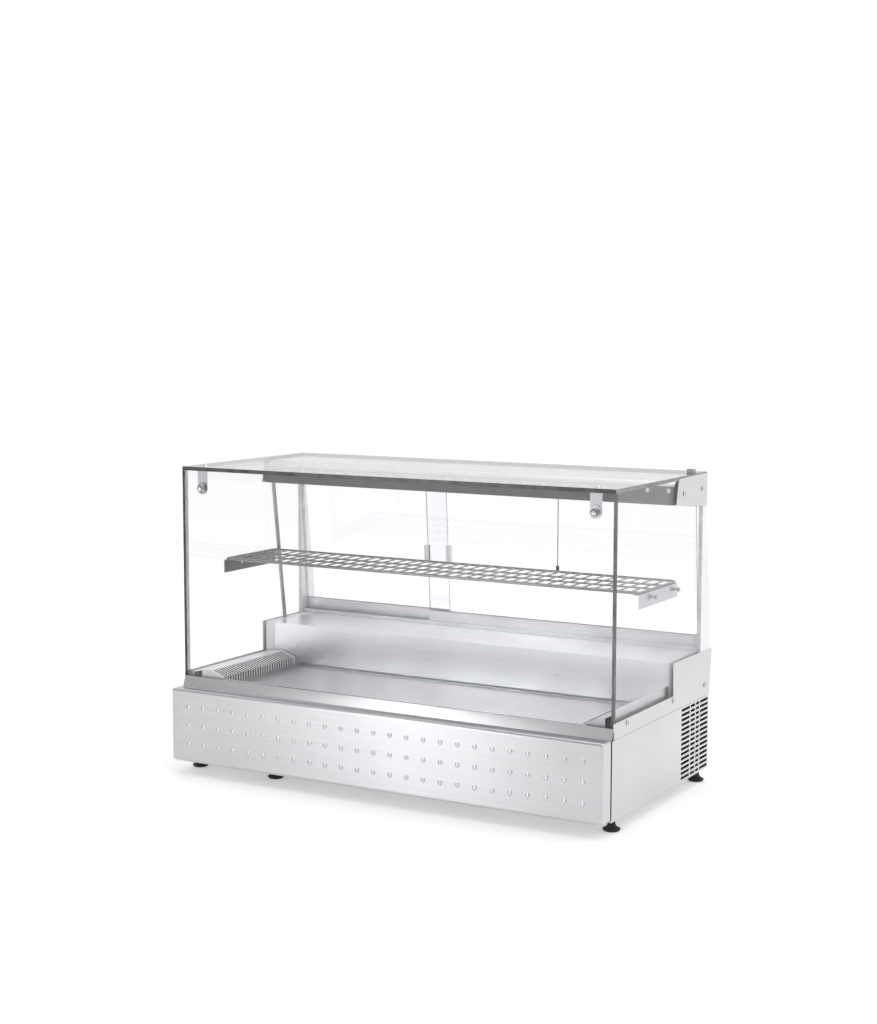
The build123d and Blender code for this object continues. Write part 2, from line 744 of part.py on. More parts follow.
def panel_screw(side, x, y, z, length):
    """A domed head with a cross recess and a plain shank."""
    head = dome(screw_head, screw_rise)
    for turn in (45, 135):
        head -= Rotation(0, 0, turn) * Pos(0, 0, screw_rise) * Box(5.5, 1.3, 2.4)
    shank = Pos(0, 0, -length / 2) * Cylinder(screw_shank / 2, length)
    return facing(x, y, z, (side, 0, 0)) * (head + shank)


def wiring_tube():
    """Leaning tube that carries the wiring up to the canopy."""
    low, high = step_top_z, underside_z(tube_high_y)
    dy, dz = tube_high_y - tube_low_y, high - low
    start = (tube_x, tube_low_y - dy * 0.1, low - dz * 0.1)
    end = (tube_x, tube_high_y + dy * 0.1, high + dz * 0.1)
    tube = cylinder(start, end, tube_diameter / 2) - cylinder(start, end, tube_diameter / 2 - tube_wall)
    y0, y1 = tube_high_y - 40, tube_low_y + 40
    room = [(y0, low), (y1, low), (y1, underside_z(y1) - 0.1), (y0, underside_z(y0) - 0.1)]
    return tube & prism_x(room, tube_x - tube_diameter, tube_x + tube_diameter)


def canopy_local():
    """A place in the plane of the canopy's underside, at the lamp: Y to the back, Z up."""
    slope = degrees(atan2(canopy_slope, 1))
    return Location((0, lamp_y, underside_z(lamp_y))) * Rotation(-slope, 0, 0)


def lamp_strip():
    """Light strip inside the canopy."""
    strip = Pos(0, 0, lamp_depth + 0.2) * Box(lamp_length - 8, lamp_width - 3, 3)
    for i in range(24):
        x = (i - 11.5) * (lamp_length - 40) / 24
        strip += Pos(x, 0, lamp_depth - 2.4) * Box(5, 5, 2)
    return canopy_local() * strip


def lamp_diffuser():
    """Translucent cover that fills the slot under the light strip."""
    width = lamp_width - 2 * gap
    cover = Pos(0, 0, lamp_depth / 2) * Box(lamp_length - 2 * gap, width - 2, lamp_depth - 3.2)
    cover -= Pos(0, 0, lamp_depth / 2 + 2) * Box(lamp_length - 6, width - 6, lamp_depth - 3.2)
    return canopy_local() * cover


# Rear posts, tracks and doors
def rear_posts():
    """Tapered posts behind the side glasses."""
    posts = []
    rear = canopy_rear_high_y + 1
    outline = [(post_front_y, well_rim_z + 0.2), (base_rear_y - 3, well_rim_z + 0.2),
               (rear_y - 3.5, step_top_z - 4), (rear_y - 3.5, step_top_z + 0.2), (rear_y, step_top_z + 0.2),
               (rear, post_bend_z), (rear, under_top), (post_front_y, under_top)]
    for side in sides():
        posts.append(prism_x(outline, side * glass_in, side * glass_out))
    return posts[0] + posts[1]


def track_outline(lip, down):
    """Section of a twin track in (n, u): n across the doors, u along them."""
    c, w = track_channel / 2, track_wall
    s = -1 if down else 1
    floor, edge = s * track_floor, s * (track_floor + lip)
    front, rear = front_track - c - w, rear_track + c + w
    return [(front, 0), (rear, 0), (rear, edge), (rear_track + c, edge), (rear_track + c, floor),
            (rear_track - c, floor), (rear_track - c, edge), (front_track + c, edge),
            (front_track + c, floor), (front_track - c, floor), (front_track - c, edge), (front, edge)]


def door_tracks():
    """Twin tracks below and above the doors; the upper one sits in the canopy."""
    x = glass_in - 0.4
    upper = Pos(0, 0, track_top) * prism_x(track_outline(track_top_lip - 2, True), -x, x)
    return door_seat * prism_x(track_outline(track_lip, False), -x, x) + [door_seat * upper]


def door_ends(side):
    """X of the outer and the meeting edge of a door."""
    outer = side * (glass_in - 2.5)
    return (outer, door_overlap_left if side > 0 else door_overlap_right)


def door_depth(side):
    """Centre of a door's track: the right door runs in front."""
    return front_track if side > 0 else rear_track


def door_pane(side):
    outer, inner = door_ends(side)
    n = door_depth(side)
    low = track_floor + gap + rail_height - glass_inset
    return door_seat * block(outer, inner, n - door_glass / 2, n + door_glass / 2, low, door_top)


def door_rail(side):
    """Bottom rail with a groove for the pane."""
    outer, inner = door_ends(side)
    n = door_depth(side)
    low = track_floor + gap
    rail = block(outer, inner, n - rail_thick / 2, n + rail_thick / 2, low, low + rail_height)
    rail = chamfer(rail.edges().filter_by(Axis.X), 0.8)
    t = door_glass / 2
    groove_low = low + rail_height - glass_inset
    rail -= block(outer + side, inner - side, n - t, n + t, groove_low, low + rail_height + 1)
    return door_seat * rail


def door_pull(side):
    """Grip clipped on the meeting edge of a door."""
    inner = door_ends(side)[1]
    n = door_depth(side)
    z0, z1 = pull_centre - pull_height / 2, pull_centre + pull_height / 2
    x_out, x_in = inner - side * pull_out, inner + side * pull_cover
    pull = block(x_out, x_in, n - pull_thick / 2, n + pull_thick / 2, z0, z1)
    pull = fillet(pull.edges().filter_by(Axis.X), 1.5)
    t = door_glass / 2
    pull -= block(inner, x_in + side, n - t - 0.05, n + t + 0.05, z0 - 1, z1 + 1)
    return door_seat * pull


# Hanging sensor
def probe_lead():
    """Flexible lead out of the underside of the canopy, drawn hanging straight."""
    low, y0, y1 = underside_z(probe_y) - probe_drop, probe_y - 9, probe_y + 9
    lead = cylinder((probe_x, probe_y, low), (probe_x, probe_y, low + probe_drop + 9), probe_wire / 2)
    room = [(y0, low), (y1, low), (y1, underside_z(y1)), (y0, underside_z(y0))]
    return lead & prism_x(room, probe_x - 9, probe_x + 9)


def probe_bulb():
    """Sensor in a round-ended sleeve, hanging on its lead."""
    top = underside_z(probe_y) - probe_drop
    bulb = Cylinder(probe_bulb_diameter / 2, probe_bulb_length)
    return Pos(probe_x, probe_y, top - probe_bulb_length / 2) * fillet(bulb.edges(), 2.5)


# Feet
def levelling_foot(x, y):
    """Threaded stem with a collar and a flared pad."""
    pad, stem, low = foot_pad / 2, foot_stem / 2, -foot_height
    collar = stem + 2
    profile = [(0, low), (pad - 3, low), (pad, low + 3), (pad, low + 4.5), (pad * 0.55, low + foot_pad_rise),
               (collar, low + foot_pad_rise + 6), (collar, -gap), (stem, -gap), (stem, foot_stem_above),
               (0, foot_stem_above)]
    section = Plane.XZ * make_face(Polyline(*profile, close=True))
    return Pos(x, y, 0) * revolve(section, Axis.Z)


# Cooling system
def finned_block(x0, x1, y0, y1, z0, z1, along_x, tube_rows, tube_columns):
    """A tube-and-fin coil: thin plates threaded on straight tubes, with end plates."""
    a0, a1 = (x0, x1) if along_x else (y0, y1)
    count = int((a1 - a0 - fin_thick) / fin_pitch)
    coil = []
    for i in range(count + 1):
        a = a0 + i * fin_pitch
        if along_x:
            coil.append(block(a, a + fin_thick, y0, y1, z0, z1))
        else:
            coil.append(block(x0, x1, a, a + fin_thick, z0, z1))
    for i in range(tube_rows):
        z = z0 + (z1 - z0) * (i + 0.5) / tube_rows
        for j in range(tube_columns):
            if along_x:
                y = y0 + (y1 - y0) * (j + 0.5) / tube_columns
                coil.append(cylinder((x0 - 5, y, z), (x1 + 2, y, z), line_diameter / 2))
            else:
                x = x0 + (x1 - x0) * (j + 0.5) / tube_columns
                coil.append(cylinder((x, y0 - 0.5, z), (x, y1 + 5, z), line_diameter / 2))
    return coil[0] + coil[1:]


def evaporator_coil():
    (x0, x1), (y0, y1) = evaporator_x, evaporator_y
    return finned_block(x0, x1, y0, y1, evaporator_z, evaporator_z + evaporator_height, True, 3, 4)


def condenser_coil():
    x1 = half - condenser_from_side
    (y0, y1), z0 = condenser_y, sheet + gap
    return finned_block(x1 - condenser_depth, x1, y0, y1, z0, z0 + condenser_height, False, 5, 1)


def fan_centre(small):
    """Position of a fan's frame centre."""
    if small:
        x = evaporator_x[1] + evaporator_fan_gap + fan_small_depth / 2
        return Vector(x, sum(evaporator_y) / 2, evaporator_z + fan_small / 2)
    x = half - condenser_from_side - condenser_depth - condenser_fan_gap - fan_large_depth / 2
    return Vector(x, sum(condenser_y) / 2, sheet + gap + fan_large / 2)


def fan_place(small):
    c = fan_centre(small)
    return Plane(origin=c, z_dir=(1, 0, 0)).location


def fan_frame(small):
    """Square fan housing with four struts, a motor boss and the rotor's shaft."""
    size, depth = (fan_small, fan_small_depth) if small else (fan_large, fan_large_depth)
    frame = Box(size, size, depth) - Cylinder(size / 2 - 2.5, depth + 1)
    back = -depth / 2 + 3
    for turn in (0, 90):
        frame += Rotation(0, 0, turn + 45) * Pos(0, 0, back - 1.5) * Box(size * 0.97, 4, 3)
    frame += Pos(0, 0, back) * Cylinder(size * 0.2, 6)
    frame += Pos(0, 0, back + 8) * Cylinder(1.5, 12)
    for sx in sides():
        for sy in sides():
            frame -= Pos(sx * (size / 2 - 5), sy * (size / 2 - 5), 0) * Cylinder(2, depth + 1)
    return fan_place(small) * frame


def fan_rotor(small):
    """Hub with pitched blades."""
    size, depth = (fan_small, fan_small_depth) if small else (fan_large, fan_large_depth)
    low = -depth / 2 + 6 + gap
    high = depth / 2 - 1
    hub_r, tip_r = size * 0.2, size / 2 - 4
    rotor = Pos(0, 0, (low + high) / 2) * Cylinder(hub_r, high - low)
    blade_long = tip_r - hub_r + 2
    blade_wide = (high - low) * 0.95
    for i in range(fan_blades):
        blade = Rotation(38, 0, 0) * Box(blade_long, 1.8, blade_wide)
        rotor += Rotation(0, 0, i * 360 / fan_blades) * Pos(tip_r - blade_long / 2, 0, (low + high) / 2) * blade
    rotor &= Pos(0, 0, (low + high) / 2) * Cylinder(tip_r, high - low)
    rotor -= Pos(0, 0, low) * Cylinder(1.5 + 0.05, 24)
    return fan_place(small) * rotor


def compressor():
    """Sealed compressor: an oval drawn shell on a footplate with four rubber mounts."""
    w, d = compressor_size
    floor = sheet + gap
    base = floor + compressor_mount
    bottom = base + 2
    shell = extrude(Pos(0, 0, bottom) * Ellipse(w / 2, d / 2), compressor_height)
    shell = fillet(shell.edges().sort_by(Axis.Z)[-1:], compressor_crown)
    seam_z = bottom + compressor_height * 0.48
    shell += Pos(0, 0, seam_z) * extrude(Ellipse(w / 2 + 3, d / 2 + 3), 5)
    shell += Pos(0, 0, base + 1) * Box(w + 20, d - 10, 2)
    for sx in sides():
        for sy in sides():
            place = Pos(sx * (w / 2 + 1), sy * (d / 2 - 14), (base + floor) / 2)
            shell += place * Cylinder(9, compressor_mount)
    shell += Pos(-w / 2 - 2, 0, base + 60) * Box(*terminal_box)
    return Pos(compressor_x, compressor_y, 0) * shell


def refrigerant_lines():
    """Suction, discharge and liquid lines, with the drier that is brazed into the liquid line."""
    r = drier_diameter / 2
    ends = [(drier_x + side * drier_length / 2, liquid_y, liquid_z) for side in sides()]
    drier = fillet(cylinder(*ends, r).edges(), r - 3)
    rear = evaporator_y[1] + 0.1
    top = sheet + gap + compressor_mount + 2 + compressor_height
    high = top + discharge_rise
    cond_x = half - condenser_from_side - condenser_depth / 2
    cond_z = sheet + gap + condenser_height + 0.2
    x, z = line_cross_x + 5, line_hole_z + 5
    y, end = compressor_y - 32, compressor_x - compressor_size[0] / 2 + 8.7
    route = [(x, rear, z), (x, y, z), (x, y, suction_z), (end, y, suction_z)]
    suction = pipe(route, [18, 18], line_diameter / 2)
    x, y = compressor_x + 20, compressor_y
    discharge = pipe([(x, y, top + gap), (x, y, high), (cond_x, y, high), (cond_x, y, cond_z)], [14, 14], 3)
    liquid = pipe([(cond_x, condenser_y[0] - 0.6, liquid_z), (cond_x, liquid_y, liquid_z), ends[1]], [8], 3)
    x, z = line_cross_x - 6, line_hole_z - 6
    feed = pipe([ends[0], (x, liquid_y, liquid_z), (x, liquid_y, z), (x, rear, z)], [12, 12], 2)
    return drier + [liquid, feed, suction, discharge]


# Controls and cord inlet
def thermostat():
    w, h, d = thermostat_size
    body = Pos(0, 0, -sheet - 0.2 - d / 2) * Box(w, h, d)
    body -= Pos(0, 0, -sheet - 7) * Cylinder(spindle / 2 + fit, 16)
    return control_place(knob_x) * body


def thermostat_knob():
    """Fluted knob with a pointer ridge and its spindle."""
    r = knob_diameter / 2
    knob = Pos(0, 0, gap + knob_height / 2) * Cylinder(r, knob_height)
    knob = fillet(knob.edges().sort_by(Axis.Z)[-1:], 2)
    for i in range(12):
        flute = Pos(r + 1.2, 0, gap + 3 + knob_height / 2) * Cylinder(2, knob_height)
        knob -= Rotation(0, 0, i * 30 + 15) * flute
    knob += Pos(0, -r / 2, gap + knob_height) * Box(2, r - 3, 1.6)
    knob += Pos(0, 0, -6) * Cylinder(spindle / 2, 13)
    return control_place(knob_x) * knob


def power_switch():
    """Switch housing, open at the front for the rocker."""
    housing = Pos(0, 0, 0.8) * Box(*switch_flange, 1.6)
    housing += Pos(0, 0, -switch_deep / 2) * Box(*switch_body, switch_deep)
    housing -= Pos(0, 0, -1.5) * Box(rocker_size[0] + 1, rocker_size[1] + 3, 9)
    return control_place(switch_x) * housing


def switch_rocker():
    w, h, t = rocker_size
    body = Rotation(rocker_tilt, 0, 0) * Box(w, h, t)
    return control_place(switch_x) * Pos(0, 0, rocker_pivot) * body


def cord_gland():
    """Inlet gland for the supply cord."""
    gland = Pos(0, 0, -2) * Cylinder(gland_bore / 2 + 3, 14) + Pos(0, 0, 4) * Cylinder(gland_bore / 2 + 6, 8)
    gland += Pos(0, 0, -6.5) * Cylinder(gland_bore / 2 + 6, 4)
    gland -= Cylinder(gland_bore / 2, 40)
    return facing(gland_x, base_rear_y, gland_z, (0, 1, 0)) * gland


nodes = {
    "base_pan": base_pan, "base_sides": base_sides, "rear_panel": rear_panel, "front_fascia": front_fascia,
    "front_sill": front_sill,
    "side_cheek_left": lambda: side_cheek(-1), "side_cheek_right": lambda: side_cheek(1),
    "well_liner": well_liner, "insulation": insulation, "rear_baffle": rear_baffle, "wire_cover": wire_cover,
    "step_top": step_top, "tray_rails": tray_rails, "display_tray": display_tray,
    "louvred_grille": louvred_grille, "duct_cover": duct_cover, "front_glass": front_glass,
    "side_glass_left": lambda: side_glass(-1), "side_glass_right": lambda: side_glass(1),
    "top_glass": top_glass, "glass_clips": glass_clips, "clip_screws": clip_screws,
    "shelf_brackets": shelf_brackets,
    "wire_shelf": wire_shelf, "canopy": canopy, "canopy_plates": canopy_plates, "panel_screws": panel_screws,
    "wiring_tube": wiring_tube, "lamp_strip": lamp_strip, "lamp_diffuser": lamp_diffuser,
    "rear_posts": rear_posts, "door_tracks": door_tracks, "top_buffer": top_buffer,
    "left_door_pane": lambda: door_pane(-1), "left_door_rail": lambda: door_rail(-1),
    "left_door_pull": lambda: door_pull(-1), "right_door_pane": lambda: door_pane(1),
    "right_door_rail": lambda: door_rail(1), "right_door_pull": lambda: door_pull(1),
    "probe_lead": probe_lead, "probe_bulb": probe_bulb, "evaporator_coil": evaporator_coil,
    "evaporator_fan_frame": lambda: fan_frame(True), "evaporator_fan_rotor": lambda: fan_rotor(True),
    "condenser_coil": condenser_coil, "condenser_fan_frame": lambda: fan_frame(False),
    "condenser_fan_rotor": lambda: fan_rotor(False), "compressor": compressor,
    "refrigerant_lines": refrigerant_lines, "thermostat": thermostat, "thermostat_knob": thermostat_knob,
    "power_switch": power_switch, "switch_rocker": switch_rocker, "cord_gland": cord_gland,
}
foot_names = ["foot_front_left", "foot_front_middle", "foot_front_right",
              "foot_rear_left", "foot_rear_middle", "foot_rear_right"]

os.makedirs("parts", exist_ok=True)
for name, make in nodes.items():
    export_step(shift * make(), f"parts/{name}.step")
for name, (x, y) in zip(foot_names, foot_places()):
    export_step(shift * levelling_foot(x, y), f"parts/{name}.step")
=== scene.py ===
"""Looks of the countertop refrigerated display case.

Materials, the hanging sensor's lead, floor, light and camera. Metres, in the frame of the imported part: X to the
right, Y to the back, Z up, the floor at 0.
"""
import json
from math import pi, radians

import bpy
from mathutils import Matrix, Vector


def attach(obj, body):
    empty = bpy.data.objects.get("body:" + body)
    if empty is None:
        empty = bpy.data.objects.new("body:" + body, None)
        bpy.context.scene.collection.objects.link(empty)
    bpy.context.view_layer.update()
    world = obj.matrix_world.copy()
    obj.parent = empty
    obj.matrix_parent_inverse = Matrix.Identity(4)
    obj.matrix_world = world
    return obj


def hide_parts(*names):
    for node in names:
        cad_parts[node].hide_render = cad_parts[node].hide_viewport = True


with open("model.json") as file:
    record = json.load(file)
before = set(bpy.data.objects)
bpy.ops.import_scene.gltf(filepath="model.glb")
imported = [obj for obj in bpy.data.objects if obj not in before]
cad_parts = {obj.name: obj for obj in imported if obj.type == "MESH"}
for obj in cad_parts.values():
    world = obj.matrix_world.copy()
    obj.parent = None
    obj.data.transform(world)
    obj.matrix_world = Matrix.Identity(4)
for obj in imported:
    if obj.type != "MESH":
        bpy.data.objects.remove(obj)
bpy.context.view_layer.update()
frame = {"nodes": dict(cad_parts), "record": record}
nodes = frame["nodes"]

drawing_y, drawing_z = -220.4, 26.0      # millimetres from the part's drawing to the row frame


def at(x, y, z):
    """A point given in the millimetres of the part's drawing, in the row frame."""
    return Vector((x / 1000, (y + drawing_y) / 1000, (z + drawing_z) / 1000))


# Camera, as fitted to the photograph
camera = bpy.data.objects.new("camera", bpy.data.cameras.new("camera"))
bpy.context.scene.collection.objects.link(camera)
camera.location = at(1833.13, -2969.12, 934.97)
camera.rotation_euler = (radians(90 - 6.246), radians(-0.077), radians(29.942))
camera.data.lens = 62.69
camera.data.sensor_width = 36
bpy.context.scene.camera = camera


def map_range(tree, value, a, b, low, high):
    """A value that runs from a to b, carried over to the range from low to high."""
    node = tree.nodes.new("ShaderNodeMapRange")
    for key, number in (("From Min", a), ("From Max", b), ("To Min", low), ("To Max", high)):
        node.inputs[key].default_value = number
    tree.links.new(value, node.inputs["Value"])
    return node.outputs["Result"]


def reckoned(tree, operation, a, b):
    """The result of an operation on two sockets or numbers."""
    node = tree.nodes.new("ShaderNodeMath")
    node.operation = operation
    for socket, value in zip(node.inputs, (a, b)):
        if isinstance(value, (int, float)):
            socket.default_value = value
        else:
            tree.links.new(value, socket)
    return node.outputs["Value"]


class Tree:
    """A material's node tree, with short calls for the nodes used here."""

    def __init__(self, name):
        self.material = bpy.data.materials.new(name)
        self.material.use_nodes = True
        self.tree = self.material.node_tree
        self.shader = self.tree.nodes["Principled BSDF"]
        self.output = self.tree.nodes["Material Output"]
        coords = self.tree.nodes.new("ShaderNodeTexCoord")
        self.place = coords.outputs["Object"]

    def link(self, a, b):
        self.tree.links.new(a, b)

    def set(self, **values):
        """Sets the Principled shader's own sockets."""
        for key, value in values.items():
            self.shader.inputs[key.replace("_", " ")].default_value = value

    def stretched(self, scale):
        """Object coordinates scaled along each axis."""
        mapping = self.tree.nodes.new("ShaderNodeMapping")
        mapping.inputs["Scale"].default_value = scale
        self.link(self.place, mapping.inputs["Vector"])
        return mapping.outputs["Vector"]

    def noise(self, scale, detail=4.0, rough=0.5, stretch=(1, 1, 1), distortion=0.0):
        node = self.tree.nodes.new("ShaderNodeTexNoise")
        node.inputs["Scale"].default_value = scale
        node.inputs["Detail"].default_value = detail
        node.inputs["Roughness"].default_value = rough
        node.inputs["Distortion"].default_value = distortion
        self.link(self.stretched(stretch), node.inputs["Vector"])
        return node.outputs["Fac"]

    def spread(self, noise, low, high):
        """The middle of a noise's range, carried over to the range from low to high."""
        return map_range(self.tree, noise, 0.35, 0.65, low, high)

    def math(self, operation, a, b):
        return reckoned(self.tree, operation, a, b)

    def colours(self, value, dark, light):
        """A colour between dark and light, by a value from 0 to 1."""
        node = self.tree.nodes.new("ShaderNodeMix")
        node.data_type = "RGBA"
        self.link(value, node.inputs["Factor"])
        node.inputs["A"].default_value = (*dark, 1)
        node.inputs["B"].default_value = (*light, 1)
        return node.outputs["Result"]

    def bump(self, height, distance, normal=None):
        """Relief of the given depth in metres, laid over another one's normal where that is given."""
        node = self.tree.nodes.new("ShaderNodeBump")
        node.inputs["Distance"].default_value = distance
        self.link(height, node.inputs["Height"])
        if normal is not None:
            self.link(normal, node.inputs["Normal"])
        self.link(node.outputs["Normal"], self.shader.inputs["Normal"])
        return node.outputs["Normal"]


def grey(level):
    """A cool grey."""
    return (level, level * 1.006, level * 1.03)


def metal(name, dark, light, rough, grain=(4, 900, 900), ripple=0.0, grain_depth=0.000004, brushing=0.0):
    """Sheet metal: fine streaks along one axis, slow cloudiness in tone, and soft handling marks.

    grain is the streaks' frequency along each axis. ripple and grain_depth are depths in metres, of slow waves in
    the sheet and of the streaks. brushing is how far highlights are drawn out.
    """
    t = Tree(name)
    streaks = t.noise(1.0, detail=5, rough=0.6, stretch=grain)
    clouds = t.noise(5.0, detail=3)
    smears = t.noise(16.0, detail=4, stretch=(1, 2, 2.5), distortion=0.6)
    tone = t.math("ADD", t.math("MULTIPLY", streaks, 0.6), t.math("MULTIPLY", clouds, 0.4))
    t.link(t.colours(t.spread(tone, 0, 1), grey(dark), grey(light)), t.shader.inputs["Base Color"])
    grit = t.math("ADD", t.math("MULTIPLY", streaks, 0.5), t.math("MULTIPLY", smears, 0.5))
    t.link(t.spread(grit, *rough), t.shader.inputs["Roughness"])
    waves = t.bump(t.noise(3.2, detail=1, stretch=(1.5, 1, 0.6)), ripple) if ripple else None
    t.bump(streaks, grain_depth, normal=waves)
    t.set(Metallic=1.0)
    if brushing:
        t.set(Anisotropic=brushing, Anisotropic_Rotation=0.25)
    return t.material


def plain(name, dark, light, rough, peel_scale=720.0, grain_depth=0.00003, metallic=0.0, coat=0.0):
    """Moulded, cast or painted surface: a faint orange-peel, slow change of tone and uneven gloss.

    peel_scale is the orange-peel's frequency and grain_depth its depth in metres.
    """
    t = Tree(name)
    peel = t.noise(peel_scale, detail=3)
    clouds = t.noise(9.0, detail=4)
    dust = t.noise(60.0, detail=6, rough=0.7)
    t.link(t.colours(t.spread(clouds, 0, 1), dark, light), t.shader.inputs["Base Color"])
    t.link(t.spread(dust, *rough), t.shader.inputs["Roughness"])
    t.bump(peel, grain_depth)
    t.set(Metallic=metallic, Coat_Weight=coat)
    return t.material


def pane(name, tint, mirror_face_on=0.03, mirror_gain=0.9):
    """A face of clear float glass: light passes straight on, and a faint mirror image lies over it.

    The mirror's share is Schlick's curve over the facing angle, the same from both sides of the sheet: it is
    mirror_face_on where the pane is seen square on, and mirror_gain more at a grazing angle.
    """
    t = Tree(name)
    t.tree.nodes.remove(t.shader)
    clear = t.tree.nodes.new("ShaderNodeBsdfTransparent")
    clear.inputs["Color"].default_value = (*tint, 1)
    gloss = t.tree.nodes.new("ShaderNodeBsdfGlossy")
    gloss.inputs["Roughness"].default_value = 0.0
    gloss.inputs["Color"].default_value = (0.9, 0.9, 0.9, 1)
    facing = t.tree.nodes.new("ShaderNodeLayerWeight")
    facing.inputs["Blend"].default_value = 0.5
    curve = t.math("POWER", facing.outputs["Facing"], 5.0)
    mix = t.tree.nodes.new("ShaderNodeMixShader")
    t.link(t.math("ADD", t.math("MULTIPLY", curve, mirror_gain), mirror_face_on), mix.inputs["Fac"])
    t.link(clear.outputs["BSDF"], mix.inputs[1])
    t.link(gloss.outputs["BSDF"], mix.inputs[2])
    t.link(mix.outputs["Shader"], t.output.inputs["Surface"])
    return t.material


def glass_edge(name, dark, light):
    """The ground edge of a pane: soft patches of two greys, longer than the edge is thick."""
    t = Tree(name)
    patches = t.noise(40.0, detail=4)
    t.link(t.colours(t.spread(patches, 0, 1), dark, light), t.shader.inputs["Base Color"])
    t.set(Roughness=0.22, Specular_IOR_Level=0.5)
    t.bump(t.noise(300.0, detail=3), 0.00002)
    return t.material


# The record's material slots
steel_dark, steel_light = 0.56, 0.66
fine_grain = 0.0000015      # depth in metres of the streaks in the smoother sheets
looks = {
    "brushed_steel": metal("brushed_steel", steel_dark, steel_light, (0.28, 0.36), brushing=0.9),
    "polished_steel": metal("polished_steel", 0.76, 0.84, (0.27, 0.34), ripple=0.006, grain_depth=fine_grain),
    "shelf_wire": metal("shelf_wire", 0.20, 0.31, (0.16, 0.26), grain=(300, 300, 300)),
    "clear_glass": pane("clear_glass", (0.984, 0.986, 0.990)),
    "white_enamel": plain("white_enamel", (0.74, 0.745, 0.75), (0.84, 0.845, 0.85), (0.28, 0.42), coat=0.2),
    "grey_plastic": plain("grey_plastic", (0.36, 0.37, 0.38), (0.44, 0.45, 0.46), (0.35, 0.5)),
    "white_plastic": plain("white_plastic", (0.78, 0.785, 0.79), (0.88, 0.885, 0.89), (0.35, 0.5)),
    "diffuser": plain("diffuser", (0.80, 0.81, 0.81), (0.88, 0.88, 0.88), (0.2, 0.35)),
    "foam": plain("foam", (0.80, 0.79, 0.76), (0.88, 0.87, 0.85), (0.7, 0.9), peel_scale=180, grain_depth=0.0006),
    "aluminium": metal("aluminium", 0.62, 0.74, (0.30, 0.42), grain=(6, 400, 400)),
    "coil_fins": metal("coil_fins", 0.55, 0.70, (0.3, 0.5), grain=(200, 200, 40)),
    "copper": plain("copper", (0.60, 0.28, 0.15), (0.74, 0.40, 0.25), (0.22, 0.45), metallic=1.0),
    "black_plastic": plain("black_plastic", (0.012, 0.012, 0.013), (0.022, 0.022, 0.023), (0.35, 0.55)),
    "black_rubber": plain("black_rubber", (0.010, 0.010, 0.010), (0.024, 0.024, 0.023), (0.55, 0.8),
                          grain_depth=0.00008),
    "black_enamel": plain("black_enamel", (0.008, 0.008, 0.009), (0.016, 0.016, 0.017), (0.2, 0.35), coat=0.5),
    "zinc_sheet": metal("zinc_sheet", 0.45, 0.60, (0.35, 0.55), grain=(40, 60, 40)),
    "bright_screws": metal("bright_screws", 0.55, 0.72, (0.12, 0.25), grain=(500, 500, 500)),
}
slot_of = {s["node"]: s["material_slot"] for s in frame["record"]["subparts"]}
for name, node in nodes.items():
    node.data.materials.clear()
    node.data.materials.append(looks[slot_of[name]])

# Finishes that some nodes, or some of their faces, have instead, and painted shade and painted light on others
# One ground pane edge in four tones by where the pane stands: painted shade at the darkest, painted light at the
# palest, and two greys between
painted_shade_edges = glass_edge("glass_edge_painted_shade", (0.035, 0.037, 0.038), (0.09, 0.092, 0.094))
side_edges = glass_edge("glass_edge_grey", (0.10, 0.105, 0.105), (0.22, 0.225, 0.225))
top_edges = glass_edge("glass_edge_middle", (0.14, 0.143, 0.145), (0.26, 0.263, 0.266))
painted_light_edges = glass_edge("glass_edge_painted_light", (0.55, 0.56, 0.57), (0.70, 0.71, 0.72))
# Dark steel as painted shade: the canopy's front and the left bracket inside the case
shaded_steel = metal("shaded_steel", 0.16, 0.21, (0.5, 0.6))
tray_steel = metal("tray_steel", 0.43, 0.46, (0.30, 0.35), grain=(700, 4, 700), grain_depth=0.0000008)
# Light steel as painted light, on the canopy's faces that look up
canopy_painted_light = metal("canopy_painted_light", 0.86, 0.92, (0.38, 0.46))
tube_metal = metal("tube_metal", 0.28, 0.42, (0.12, 0.2), grain=(500, 500, 60))
# Dark rims on the screw heads: painted shade
screw_rim_painted_shade = metal("screw_rim_painted_shade", 0.10, 0.18, (0.15, 0.25), grain=(500, 500, 500))
# Pale satin metal: the rear posts' own pale aluminium with painted light, and painted light on the inner faces and
# edges of the end plates and cheeks
satin_painted_light = plain("satin_painted_light", (0.80, 0.805, 0.81), (0.87, 0.875, 0.88), (0.35, 0.5), metallic=0.2)
pale_pull = plain("pale_pull", (0.82, 0.825, 0.83), (0.88, 0.885, 0.89), (0.2, 0.3), coat=0.4)
sill_steel = metal("sill_steel", 0.57, 0.60, (0.28, 0.32), grain_depth=fine_grain, brushing=0.6)
# Near-black fins: painted shade behind the base's vents
fins_painted_shade = metal("fins_painted_shade", 0.06, 0.10, (0.5, 0.7), grain=(200, 200, 40))
# Near-black as painted shade, in the grille's slots and the side screws' sockets
painted_shade_recess = plain("painted_shade_recess", (0.02, 0.02, 0.021), (0.04, 0.04, 0.041), (0.5, 0.7))


def everywhere(c, n):
    return True


def dress(name, material, chosen=everywhere):
    """Gives the chosen faces of a node another material.

    chosen takes a face's centre, in the millimetres of the part's drawing, and its normal.
    """
    mesh = nodes[name].data
    mesh.materials.append(material)
    index = len(mesh.materials) - 1
    for face in mesh.polygons:
        c = face.center
        if chosen(Vector((c.x * 1000, c.y * 1000 - drawing_y, c.z * 1000 - drawing_z)), face.normal):
            face.material_index = index


# Shares of an axis in a face's normal
toward = 0.5            # above this the face looks that way
square = 0.9            # above this it is square to the axis
upward = 0.3            # the canopy's top has more than this of Z, its front less
beside_dimple = 0.02    # and the canopy's flat front less than this of X
dome_top = 0.8          # a screw's rim has less than this of its axis
socket_wall = 0.35      # and its socket's walls less than this

